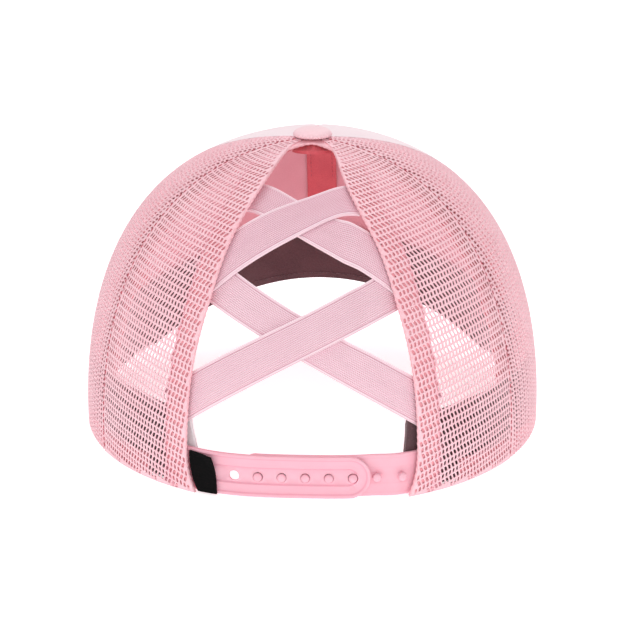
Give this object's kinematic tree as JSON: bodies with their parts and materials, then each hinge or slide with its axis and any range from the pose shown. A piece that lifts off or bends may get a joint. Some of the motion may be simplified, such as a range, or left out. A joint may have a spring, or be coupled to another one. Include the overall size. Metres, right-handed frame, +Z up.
{
  "type": "trucker cap",
  "caption": "Mesh-backed trucker cap with a curved visor, a tall ponytail opening crossed by elastic straps, and a plastic snap strap at the back.",
  "frame": {"origin": "middle of the bottom of the bounding box, on the surface that the cap rests on", "axes": "+Z up, +Y from the back opening towards the visor, +X to the wearer's right"},
  "size_m": [0.179, 0.252, 0.117],
  "materials": {
    "front_cloth": "smooth pale pink twill",
    "net": "pink open polyester net, matt",
    "sweatband_cloth": "dark soft knit, matt",
    "visor_cloth": "pale pink twill with rows of stitches",
    "button_cloth": "pale pink cloth over a button",
    "seam_tape": "coral red woven tape",
    "elastic": "pale pink ribbed elastic, slight sheen",
    "snap_plastic": "satin pink plastic",
    "label_weave": "black woven tape, bare"
  },
  "bodies": {
    "root": {"front_panel_left": "front_cloth", "front_panel_right": "front_cloth", "side_mesh_left": "net", "side_mesh_right": "net", "back_mesh_left": "net", "back_mesh_right": "net", "sweatband": "sweatband_cloth", "front_seam_tape": "seam_tape", "front_side_tape_left": "seam_tape", "front_side_tape_right": "seam_tape", "back_side_tape_left": "seam_tape", "back_side_tape_right": "seam_tape", "tape_gather": "seam_tape", "button": "button_cloth", "visor": "visor_cloth", "strap_upper_over": "elastic", "strap_upper_under": "elastic", "strap_lower_over": "elastic", "strap_lower_under": "elastic", "snap_strap_holes": "snap_plastic", "snap_strap_pegs": "snap_plastic", "side_label": "label_weave"}
  },
  "joints": []
}
